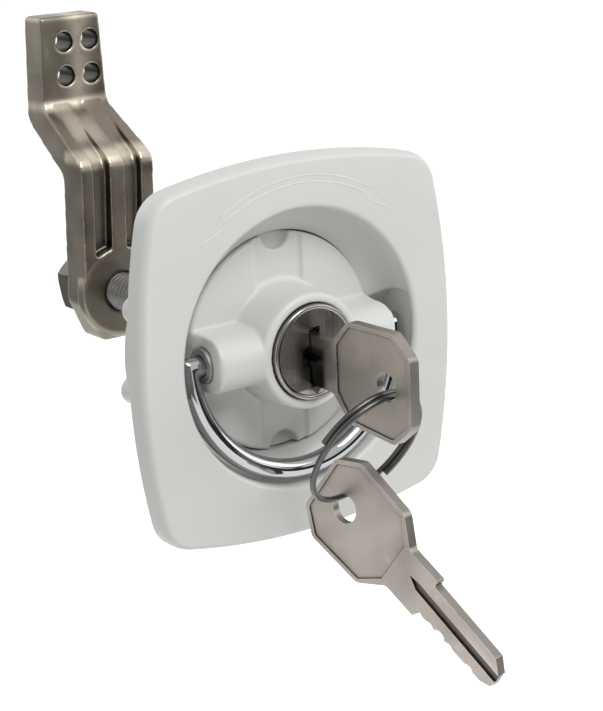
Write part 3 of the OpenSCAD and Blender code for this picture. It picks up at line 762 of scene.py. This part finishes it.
def pocketed(r, y, angles):
    """Moves a point of the dish out to the elbow pockets' wall, where a pocket is deeper."""
    inside_r, inside_y = POCKET_X, POCKET_INSIDE
    dr, dy = r - inside_r, y - inside_y
    reach = math.hypot(dr, dy)
    ur, uy = dr / reach, dy / reach
    c, s = np.abs(np.cos(angles)), np.abs(np.sin(angles))
    drop = inside_y - PIVOT_Y
    qa = uy * uy + ur * ur * s * s
    qb = 2 * (drop * uy + inside_r * ur * s * s)
    qc = drop * drop + inside_r * inside_r * s * s - POCKET_R * POCKET_R
    far = (-qb + np.sqrt(np.maximum(qb * qb - 4 * qa * qc, 0))) / (2 * np.maximum(qa, 1e-9))
    far = np.where(qc < 0, far, 0)
    if abs(ur) > 1e-6:
        edge = POCKET_X + math.copysign(POCKET_HALF, ur)
        wall = (edge / np.maximum(c, 1e-6) - inside_r) / ur
        far = np.minimum(far, np.maximum(wall, 0))
    out = smooth_max(np.full_like(far, reach), far, POCKET_BLEND)
    new_r = np.maximum(inside_r + ur * out, RIM_BORE)
    return new_r, inside_y + uy * out


def plate_rings(angles):
    """The plate's profile as rings of radius and y, from the bearing bore to the rotor's seat."""
    ones = np.ones_like(angles)
    rings = []

    def ring(r, y):
        rings.append((r * ones, y * ones))

    def arc(*shape):
        for r, y in arc_points(*shape):
            ring(r, y)

    def outline(inset):
        return np.array([plate_radius(a, inset) for a in angles])

    # Bearing bore, with the four notches that the lock bolt enters
    quarter = np.abs((angles + math.pi / 4) % (math.pi / 2) - math.pi / 4)
    notch = np.minimum(NOTCH_R / np.cos(quarter), NOTCH_HALF / np.maximum(np.sin(quarter), 1e-6))
    notch = np.maximum(notch, JOURNAL_BORE)
    ring(JOURNAL_BORE + BORE_EDGE, SEAT_Y)
    ring(JOURNAL_BORE, SEAT_Y + BORE_EDGE)
    ring(JOURNAL_BORE, NOTCH_Y0)
    ring(notch, NOTCH_Y0 + NOTCH_STEP)
    ring(notch, NOTCH_Y1 - NOTCH_STEP)
    ring(JOURNAL_BORE, NOTCH_Y1)
    ring(JOURNAL_BORE, BOSS_Y - BORE_EDGE)
    ring(JOURNAL_BORE + BORE_EDGE, BOSS_Y)
    # Boss, and the barrel's end wall
    arc((BOSS_R - BOSS_EDGE, BOSS_Y - BOSS_EDGE), BOSS_EDGE, 90, 0, 4)
    arc((BOSS_R + BOSS_FILLET, WALL_Y + BOSS_FILLET), BOSS_FILLET, 180, 270, 5)
    ring(BARREL_R - BARREL_RIM, WALL_Y)
    # Thread of the barrel, from its end down to a plain neck under the plate
    depth, pitch = sizes().thread_depth / MM, sizes().thread_pitch / MM
    for y in np.linspace(THREAD_TOP, THREAD_NECK, THREAD_LEVELS):
        wave = (y / pitch - angles / (2 * math.pi)) % 1.0
        ridge = np.clip((np.abs(wave - 0.5) * 2 - THREAD_CREST) / THREAD_FLANK, 0, 1)
        below = THREAD_TOP - y
        fade = min(1.0, (y - THREAD_NECK) / THREAD_FADE, below / THREAD_START + THREAD_LEFT)
        chamfer = CHAMFER * max(0, 1 - below / CHAMFER_RUN)
        ring(BARREL_R - depth * (1 - ridge) * fade - chamfer, y)
    # Back of the plate, with the groove of the gasket
    arc((BARREL_R + BARREL_FILLET, BARREL_FILLET), BARREL_FILLET, 180, 270, 4)
    ring(GASKET_IN, 0)
    ring(GASKET_IN, -GASKET_T)
    ring(GASKET_OUT, -GASKET_T)
    ring(GASKET_OUT, 0)
    ring(outline(BACK_EDGE), 0)
    # Rolled edge and the flat of the face
    edge_y = FRONT + CROWN_DEPTH
    ring(outline(0.0), -BACK_EDGE)
    ring(outline(0.0), edge_y)
    for turn in np.radians(np.linspace(0, 90, 15)[1:]):
        inner = outline(CROWN_IN * (1 - math.cos(turn)))
        ring(inner, edge_y - CROWN_DEPTH * math.sin(turn))
    for share in (0.25, 0.5, 0.75, 1.0):
        ring(inner + (LIP_AT + LIP_LAND - inner) * share, FRONT)
    # Lip and bowl of the dish, with the two pockets
    arc((LIP_AT, FRONT + LIP_R), LIP_R, 270, 180, 9)
    top, foot = np.array((LIP_AT - LIP_R, FRONT + LIP_R)), np.array((BOWL_WALL, DISC_Y - BOWL_ARC))
    dish = [tuple(top + (foot - top) * share) for share in (0.2, 0.4, 0.6, 0.8)]
    dish += arc_points((RIM_BORE, DISC_Y - BOWL_ARC), BOWL_ARC, 0, 90, 34)
    rings += [pocketed(r, y, angles) for r, y in dish]
    # Seat of the rotor, with the track of its stop lug
    ring(RIM_BORE, SEAT_Y - SEAT_EDGE)
    ring(RIM_BORE - SEAT_EDGE, SEAT_Y)
    turn = np.degrees(angles) % 360
    track = np.where((turn < TRACK_END) | (turn > TRACK_START), TRACK_Y, SEAT_Y)
    ring(TRACK_R1, SEAT_Y)
    ring(TRACK_R1, track)
    ring(TRACK_R0, track)
    ring(TRACK_R0, SEAT_Y)
    return rings


def arrow_path():
    """The closed outline of the two-headed turning arrow, on the plate's face."""
    middle, half, wide, drop = 31.3, 0.62, 1.55, 0.1
    left_tip, left_neck, right_neck, right_tip = 133.5, 122.5, 58.5, 47.0
    barb, steps, spacing = 1.0, 90, 0.25

    def at(r, degrees):
        a = math.radians(degrees)
        return (r * math.cos(a), r * math.sin(a))

    corners = []
    for way, start, neck, tip in (
        (1, left_neck, right_neck, right_tip),
        (-1, right_neck, left_neck, left_tip),
    ):
        corners += [at(middle + way * half, a) for a in np.linspace(start, neck, steps)]
        back = neck + way * barb
        corners.append(at(middle + way * wide, back))
        corners.append(at(middle - drop, tip))
        corners.append(at(middle - way * wide, back))
    depth = FRONT + (sizes().bead_radius - sizes().bead_height) / MM
    path = []
    for (x, z), (next_x, next_z) in zip(corners, corners[1:] + corners[:1]):
        count = max(1, int(math.hypot(next_x - x, next_z - z) / spacing))
        for share in (k / count for k in range(count)):
            path.append((x + (next_x - x) * share, depth, z + (next_z - z) * share))
    return path


class LATCH_OT_face_plate(bpy.types.Operator):
    """Makes the face plate with its dish, pockets and barrel, and the raised turning arrow"""

    bl_idname = "latch.face_plate"
    bl_label = "Face plate"

    def execute(self, context):
        angles = np.arange(sizes().plate_columns) * 2 * math.pi / sizes().plate_columns
        rings = plate_rings(angles)
        points = [
            (r[i] * math.cos(a), y[i], r[i] * math.sin(a))
            for i, a in enumerate(angles)
            for r, y in rings
        ]
        plate = piece_from("face_plate_moulding", points, grid_faces(len(angles), len(rings)))
        dressed(plate, "housing", "white_polymer", ["face_plate"], sharp=40)
        arrow = wire_along(
            "turning_arrow", arrow_path(), sizes().bead_radius, 12, "white_polymer", closed=True
        )
        dressed(arrow, "housing", "white_polymer", sharp=0)
        return {"FINISHED"}


class LATCH_OT_mounting_nut(bpy.types.Operator):
    """Makes the lobed nut behind the panel, with soft moulded edges"""

    bl_idname = "latch.mounting_nut"
    bl_label = "Mounting nut"

    def execute(self, context):
        nut = edged("mounting_nut_moulding", "mounting_nut", width=0.45 * MM, steps=3)
        dressed(nut, "housing", "white_polymer", ["mounting_nut"], sharp=50)
        return {"FINISHED"}


# How the rotor's arms draw in: from which x and y, by which share, and over which depth, in mm
ARM_FROM, ARM_BACK, ARM_DRAW, ARM_BLEND = 15.0, 1.5, 0.12, 2.0


class LATCH_OT_rotor(bpy.types.Operator):
    """Makes the white rotor with its hub, arms, channel and notches"""

    bl_idname = "latch.rotor"
    bl_label = "Rotor"

    def execute(self, context):
        rotor = softened("rotor_moulding", "rotor", rounds=11, keep=0.55)
        # The arms' ends draw in a little, so that the bushes stand proud of them
        for vert in rotor.data.vertices:
            x, y, _ = vert.co / MM
            if abs(x) > ARM_FROM and y < ARM_BACK:
                draw = ARM_DRAW * (abs(x) - ARM_FROM) * min((ARM_BACK - y) / ARM_BLEND, 1.0)
                vert.co.x -= math.copysign(draw * MM, x)
        dressed(rotor, "rotor", "white_polymer", ["rotor"], sharp=0)
        return {"FINISHED"}


# Wires


RING_R = 23.0
RING_REST = math.radians(5.5)
RING_END = 16.1
RING_SIDES = 48
# The wire's broken end: shares of its radius, with their distance from the end
RING_EDGE = ((0.93, 0.12), (0.8, 0.0), (0.01, 0.0))
RING_EDGE_FROM = 0.4


def pull_ring_sections():
    """Sections of half the pull ring, from its bottom round a tight elbow to its end in the arm."""
    wire, bend = sizes().ring_wire / MM, sizes().ring_elbow / MM
    around = np.arange(RING_SIDES) * 2 * math.pi / RING_SIDES
    reach, side = wire * np.cos(around), wire * np.sin(around)
    outer, stop = RING_R + reach, reach - bend
    sections = []

    def section(x, z):
        sections.append((x, side, z))

    # The half ring, each line of which stops where the elbow's bend begins
    for a in np.radians(np.linspace(-90, 0, 90)):
        level = outer * math.sin(a)
        section(np.where(level > stop, outer, outer * math.cos(a)), np.minimum(level, stop))
    for rise in np.linspace(0, wire, 8)[1:]:
        section(outer, np.minimum(rise, stop))
    for t in np.radians(np.linspace(0, 90, 9)):
        section(outer - bend * (1 - math.cos(t)), reach - bend * (1 - math.sin(t)))
    for x in np.linspace(RING_R + wire, RING_END + RING_EDGE_FROM, 26):
        section(np.minimum(x, outer - bend), reach)
    for share, short in RING_EDGE:
        sections.append((np.full_like(reach, RING_END + short), side * share, reach * share))
    return sections


def pull_ring_piece(name):
    """The pull ring as one closed wire, leaning at its rest angle."""
    half = pull_ring_sections()
    whole = [(-x, n, z) for x, n, z in reversed(half)] + half[1:]
    lean = (math.sin(RING_REST), math.cos(RING_REST))
    points = []
    for x, n, z in whole:
        y = PIVOT_Y + z * lean[0] + n * lean[1]
        points += list(zip(x, y, z * lean[1] - n * lean[0]))
    faces = grid_faces(len(whole), RING_SIDES, close_rows=False)
    faces += [tuple(range(RING_SIDES)), tuple(range(len(points) - RING_SIDES, len(points)))]
    return piece_from(name, points, faces)


class LATCH_OT_pull_ring(bpy.types.Operator):
    """Bends the chrome pull ring from one wire"""

    bl_idname = "latch.pull_ring"
    bl_label = "Pull ring"

    def execute(self, context):
        ring = pull_ring_piece("pull_ring_chrome")
        dressed(ring, "pull_ring", "bright_chrome", ["pull_ring"], sharp=50)
        return {"FINISHED"}


KEY_RING_R = 12.1
# The angle at which the wire starts, and the angle over which it lies double, in degrees
KEY_RING_TURN = (200.0, 206.0)
# Distance between the two turns, as a share of the wire's radius
KEY_RING_STEP = 1.9
KEY_RING_AT = (
    Matrix.Translation((-1.57, -24.44, -14.2))
    @ Matrix.Rotation(math.radians(6.82), 4, "Z")
    @ Matrix.Rotation(math.radians(-61.56), 4, "X")
)


def key_ring_path():
    """One wire that runs round a little over one and a half times, from cut end to cut end."""
    start, lap = KEY_RING_TURN
    step = KEY_RING_STEP * sizes().key_wire / MM
    total = 360.0 + lap
    path = []
    for a in np.linspace(0, total, 320):
        share = min(max((a - lap) / (360.0 - lap), 0.0), 1.0)
        lift = step * (1 - share * share * (3 - 2 * share))
        turn = math.radians(start + a)
        point = Vector((KEY_RING_R * math.cos(turn), KEY_RING_R * math.sin(turn), lift))
        path.append(tuple(KEY_RING_AT @ point))
    return path


class LATCH_OT_key_ring(bpy.types.Operator):
    """Winds the dark split ring that carries the keys"""

    bl_idname = "latch.key_ring"
    bl_label = "Key ring"

    def execute(self, context):
        ring = wire_along("key_ring_wire", key_ring_path(), sizes().key_wire, 20, "dark_wire")
        dressed(ring, "key_ring", "dark_wire", ["key_ring"], sharp=50)
        return {"FINISHED"}


# Lock and keys


class LATCH_OT_lock(bpy.types.Operator):
    """Makes the lock's rolled rim and its plug with the keyway"""

    bl_idname = "latch.lock"
    bl_label = "Lock"

    def execute(self, context):
        for piece, node, body in (
            ("lock_rim", "lock_shell", "rotor"),
            ("lock_plug_face", "lock_plug", "lock_plug"),
        ):
            dressed(edged(piece, node), body, "lock_steel", [node])
        return {"FINISHED"}


# Marks of a key's cut edge and groove: how dark they are painted, the groove's as painted shade,
# and how steep or deep a face has to lie
CUT_EDGE_MARK, CUT_EDGE_SLOPE = 0.62, 0.3
GROOVE_SHADE_MARK, GROOVE_DEPTH = 0.8, 0.32


def face_mark(mesh, name, values):
    """Writes a value on each face of a mesh, for its finish to read."""
    mesh.attributes.new(name, "FLOAT", "FACE").data.foreach_set("value", values)


class LATCH_OT_keys(bpy.types.Operator):
    """Makes the key in the lock and the spare key"""

    bl_idname = "latch.keys"
    bl_label = "Keys"

    def execute(self, context):
        for node in ("key", "spare_key"):
            key = edged(node + "_stamping", node, width=0.14 * MM, steps=3)
            sides = key.data.polygons
            # The blade's cut edge is painted darker, and the floor of its groove with painted shade
            flat = max(sides, key=lambda side: side.area).normal.copy()
            depth = [flat.dot(vert.co) for vert in key.data.vertices]
            middle, half = (max(depth) + min(depth)) / 2, (max(depth) - min(depth)) / 2
            cut = []
            for side in sides:
                deep = half - abs(flat.dot(side.center) - middle)
                groove = GROOVE_SHADE_MARK if deep > GROOVE_DEPTH * MM else 0.0
                steep = abs(flat.dot(side.normal)) < CUT_EDGE_SLOPE
                cut.append(CUT_EDGE_MARK if steep else groove)
            # Only the key in the lock takes the painted shade by the lock
            face_mark(key.data, "in_lock", [float(node == "key")] * len(cut))
            face_mark(key.data, "cut_face_and_groove_shade", cut)
            dressed(key, node, "key_nickel", [node])
        return {"FINISHED"}


# Spindle and cam bar


SPINDLE_SIDES, SPINDLE_LEVELS = 40, 8
SPINDLE_DEPTH, SPINDLE_CREST, SPINDLE_FLANK = 0.45, 0.12, 0.76
SPINDLE_POINT, SPINDLE_TAPER = 0.9, 0.75


def spindle_grid():
    """Points and faces of the threaded rod, closed at both ends."""
    pitch = sizes().spindle_pitch / MM
    low, high = SPINDLE_LOW.y, SPINDLE_HIGH.y
    levels = np.linspace(low, high, int((high - low) / pitch * SPINDLE_LEVELS))
    points = []
    for i in range(SPINDLE_SIDES):
        turn = 2 * math.pi * i / SPINDLE_SIDES
        for y in levels:
            wave = (y / pitch - i / SPINDLE_SIDES) % 1.0
            ridge = (abs(wave - 0.5) * 2 - SPINDLE_CREST) / SPINDLE_FLANK
            cut = SPINDLE_DEPTH * (1 - min(1.0, max(0.0, ridge)))
            near_end = max(0.0, 1.0 - (high - y) / SPINDLE_POINT, 1.0 - (y - low) / SPINDLE_POINT)
            r = SPINDLE_HIGH.x - max(cut, near_end * SPINDLE_TAPER)
            points.append((r * math.cos(turn), y, r * math.sin(turn)))
    count = len(levels)
    faces = grid_faces(SPINDLE_SIDES, count, close_columns=False)
    for j, y in ((0, low), (count - 1, high)):
        hub = len(points)
        points.append((0.0, y, 0.0))
        for i in range(SPINDLE_SIDES):
            faces.append((hub, i * count + j, ((i + 1) % SPINDLE_SIDES) * count + j))
    return points, faces


class LATCH_OT_spindle(bpy.types.Operator):
    """Cuts the spindle's thread and makes the jam nut and its washer"""

    bl_idname = "latch.spindle"
    bl_label = "Spindle and jam nut"

    def execute(self, context):
        rod = piece_from("threaded_spindle", *spindle_grid())
        dressed(rod, "rotor", "zinc_steel", ["spindle"], sharp=50)
        for piece, node, width in (
            ("jam_nut_hex", "jam_nut", 0.15),
            ("split_washer", "lock_washer", 0.12),
        ):
            dressed(edged(piece, node, width=width * MM), "rotor", "bronze_nut", [node])
        return {"FINISHED"}


# The cam bar's two grooves, in millimetres, and the outline in y and z of the blocks that end them
GROOVE_X, GROOVE_HALF = 3.7, 1.95
GROOVE_BLOCK = ((59.3, 26.2), (71.5, 37.8), (74.5, 37.3), (62.0, 26.2))


def groove_block(x):
    """Points and faces of the block that fills a groove along the bar's slanted part."""
    points = [(x + step, y, z) for step in (-GROOVE_HALF, GROOVE_HALF) for y, z in GROOVE_BLOCK]
    faces = [(0, 1, 2, 3), (7, 6, 5, 4)]
    faces += [(i, i + 4, (i + 1) % 4 + 4, (i + 1) % 4) for i in range(4)]
    return points, faces


class LATCH_OT_cam_bar(bpy.types.Operator):
    """Makes the cranked cam bar with soft cast edges"""

    bl_idname = "latch.cam_bar"
    bl_label = "Cam bar"

    def execute(self, context):
        # The two grooves run out along the slanted part of the bar
        fill = [groove_block(x) for x in (-GROOVE_X, GROOVE_X)]
        bar = softened("cam_bar_casting", "cam_bar", rounds=11, fill=fill)
        dressed(bar, "rotor", "bronze_cast", ["cam_bar"], sharp=0)
        return {"FINISHED"}


# Pieces whose solids are shown as they are, with a better finish.
INNER_FINISHES = {
    "black_rubber": ("flange_gasket", "rotor_o_ring"),
    "washer_polymer": ("thrust_washer",),
    "bush_steel": ("pivot_bushes",),
    "spring_steel": ("retaining_ring", "lock_clip", "spindle_pin", "lock_drive", "lock_bolt"),
    "wafer_brass": ("lock_wafers",),
    "zinc_steel": ("drive_screw",),
}


class LATCH_OT_inner_pieces(bpy.types.Operator):
    """Gives the bushes and the pieces inside the latch their finishes"""

    bl_idname = "latch.inner_pieces"
    bl_label = "Inner pieces"

    def execute(self, context):
        for finish, nodes in INNER_FINISHES.items():
            for node in nodes:
                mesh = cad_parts[node].data
                mesh.materials.clear()
                mesh.materials.append(material(finish))
        return {"FINISHED"}


# Studio

CAMERA_AT = Vector((-215.9, -300.4, 100.8)) * MM
CAMERA_AXES = ((0.8014, -0.5969, -0.0395), (0.191, 0.1928, 0.9625), (-0.5669, -0.7788, 0.2686))
CAMERA_LENS = 105.4
FLOOR_Z = -0.20
FLOOR_HALF = 6.0
# Levels of the floor and the world: as light on the latch, and as seen or mirrored
FLOOR_LEVELS = (0.0, 0.72)
WORLD_LEVELS = (0.36, 1.0)
LAMPS = (
    # name, place, target, size, watts
    ("top_softbox", (0.05, -0.49, 0.53), (0.0, 0.0, 0.0), 0.28, 3.05),
    ("right_softbox", (0.70, -0.45, 0.30), (0.0, 0.0, 0.0), 0.5, 1.25),
    ("left_softbox", (-0.80, -0.20, 0.30), (0.0, 0.02, 0.0), 0.6, 0.95),
    ("back_softbox", (-0.25, 0.75, 0.35), (0.0, 0.04, 0.0), 0.6, 1.6),
)
FLAGS = (
    # name, direction from the latch, distance, width, height, brightness
    ("right_flag", (0.60, -0.76, -0.28), 0.55, 0.60, 0.36, 0.03),
    ("left_flag", (-0.55, -0.66, -0.50), 0.55, 0.55, 0.34, 0.2),
    ("back_flag", (-0.70, 0.68, -0.25), 0.35, 0.42, 0.24, 0.45),
    ("camera_flag", (-0.56, -0.78, 0.30), 0.62, 0.90, 0.75, 0.28),
)


def background_value(n, lit, white):
    """One level where the camera, a mirror or glass looks, and another for other light."""
    path = n.add("ShaderNodeLightPath").outputs
    seen = n.math("MAXIMUM", path["Is Camera Ray"], path["Is Glossy Ray"])
    seen = n.math("MAXIMUM", seen, path["Is Transmission Ray"])
    return n.math("ADD", n.math("MULTIPLY", seen, white - lit), lit)


WHITE = (1, 1, 1, 1)


def studio_card(name, finish, paint, middle, side, rise):
    """A flat matt card of the studio, with the Nodes and the shader of its material."""
    mat, n, shader = new_material(
        finish, Base_Color=paint, Emission_Color=WHITE, Roughness=0.9, Specular_IOR_Level=0.0
    )
    corners = [middle + side * a + rise * b for a, b in ((-1, -1), (1, -1), (1, 1), (-1, 1))]
    card = piece_from(name, [tuple(corner / MM) for corner in corners], [(0, 1, 2, 3)])
    card.data.materials.append(mat)
    return card, n, shader


def dark_flags():
    """Dark and grey cards beside the latch, which show only where the pieces mirror them."""
    for name, direction, distance, width, height, level in FLAGS:
        out = Vector(direction).normalized()
        side = out.cross(Vector((0, 0, 1))).normalized() * width / 2
        rise = side.cross(out).normalized() * height / 2
        paint = (0.02, 0.02, 0.02, 1)
        flag, _, shader = studio_card(name, "studio_" + name, paint, out * distance, side, rise)
        shader.inputs["Emission Strength"].default_value = level
        with_values(flag, visible_camera=False, visible_diffuse=False, visible_shadow=False)


def studio_floor():
    """The pale floor, which the camera and mirrors see lit from within."""
    middle = Vector((0, 0, FLOOR_Z))
    side, rise = Vector((FLOOR_HALF, 0, 0)), Vector((0, FLOOR_HALF, 0))
    paint = (0.92, 0.92, 0.92, 1)
    _, n, shader = studio_card("studio_floor", "studio_floor", paint, middle, side, rise)
    n.join(background_value(n, *FLOOR_LEVELS), shader.inputs["Emission Strength"])


def studio_world():
    """A white world, which lights the latch less than it shows."""
    world = bpy.data.worlds.new("studio")
    world.use_nodes = True
    n = Nodes(world.node_tree)
    background = next(node for node in world.node_tree.nodes if node.type == "BACKGROUND")
    background.inputs["Color"].default_value = WHITE
    n.join(background_value(n, *WORLD_LEVELS), background.inputs["Strength"])
    return world


def soft_lamps():
    """The soft boxes round the latch."""
    for name, place, target, width, watts in LAMPS:
        light = with_values(bpy.data.lights.new(name, "AREA"), size=width, energy=watts)
        aim = (Vector(target) - Vector(place)).to_track_quat("-Z", "Y").to_euler()
        with_values(linked(name, light), location=place, rotation_euler=aim)


def photo_camera():
    """The camera at the photograph's place."""
    camera = with_values(
        bpy.data.cameras.new("photo_camera"), sensor_fit="VERTICAL", sensor_height=36.0,
        lens=CAMERA_LENS, clip_start=0.01, clip_end=50,
    )
    place = Matrix.Translation(CAMERA_AT) @ Matrix(CAMERA_AXES).transposed().to_4x4()
    return with_values(linked("photo_camera", camera), matrix_world=place)


class LATCH_OT_studio(bpy.types.Operator):
    """Sets up the floor, the soft lamps, the world and the camera"""

    bl_idname = "latch.studio"
    bl_label = "Studio"

    def execute(self, context):
        scene = context.scene
        scene.view_settings.view_transform = "Standard"
        studio_floor()
        dark_flags()
        scene.world = studio_world()
        soft_lamps()
        scene.camera = photo_camera()
        return {"FINISHED"}


class LATCH_PT_pieces(bpy.types.Panel):
    """Lists the operators that build the latch, with its sizes and colours"""

    bl_label = "Locking flush latch"
    bl_idname = "LATCH_PT_pieces"
    bl_space_type = "VIEW_3D"
    bl_region_type = "UI"
    bl_category = "Latch"

    def draw(self, context):
        layout = self.layout
        for operator in OPERATORS:
            layout.operator(operator.bl_idname)
        for group in (context.scene.latch_sizes, context.scene.latch_colours):
            box = layout.box()
            for key in group.__annotations__:
                box.prop(group, key)


OPERATORS = (
    LATCH_OT_studio,
    LATCH_OT_face_plate,
    LATCH_OT_mounting_nut,
    LATCH_OT_rotor,
    LATCH_OT_pull_ring,
    LATCH_OT_lock,
    LATCH_OT_keys,
    LATCH_OT_key_ring,
    LATCH_OT_spindle,
    LATCH_OT_cam_bar,
    LATCH_OT_inner_pieces,
)
CLASSES = (LatchSizes, LatchColours, *OPERATORS, LATCH_PT_pieces)


def register():
    for cls in CLASSES:
        bpy.utils.register_class(cls)
    bpy.types.Scene.latch_sizes = PointerProperty(type=LatchSizes)
    bpy.types.Scene.latch_colours = PointerProperty(type=LatchColours)


def unregister():
    del bpy.types.Scene.latch_colours
    del bpy.types.Scene.latch_sizes
    for cls in reversed(CLASSES):
        bpy.utils.unregister_class(cls)


def main():
    """Builds every piece in order."""
    register()
    for operator in OPERATORS:
        group, name = operator.bl_idname.split(".")
        getattr(getattr(bpy.ops, group), name)()


if __name__ == "__main__":
    main()
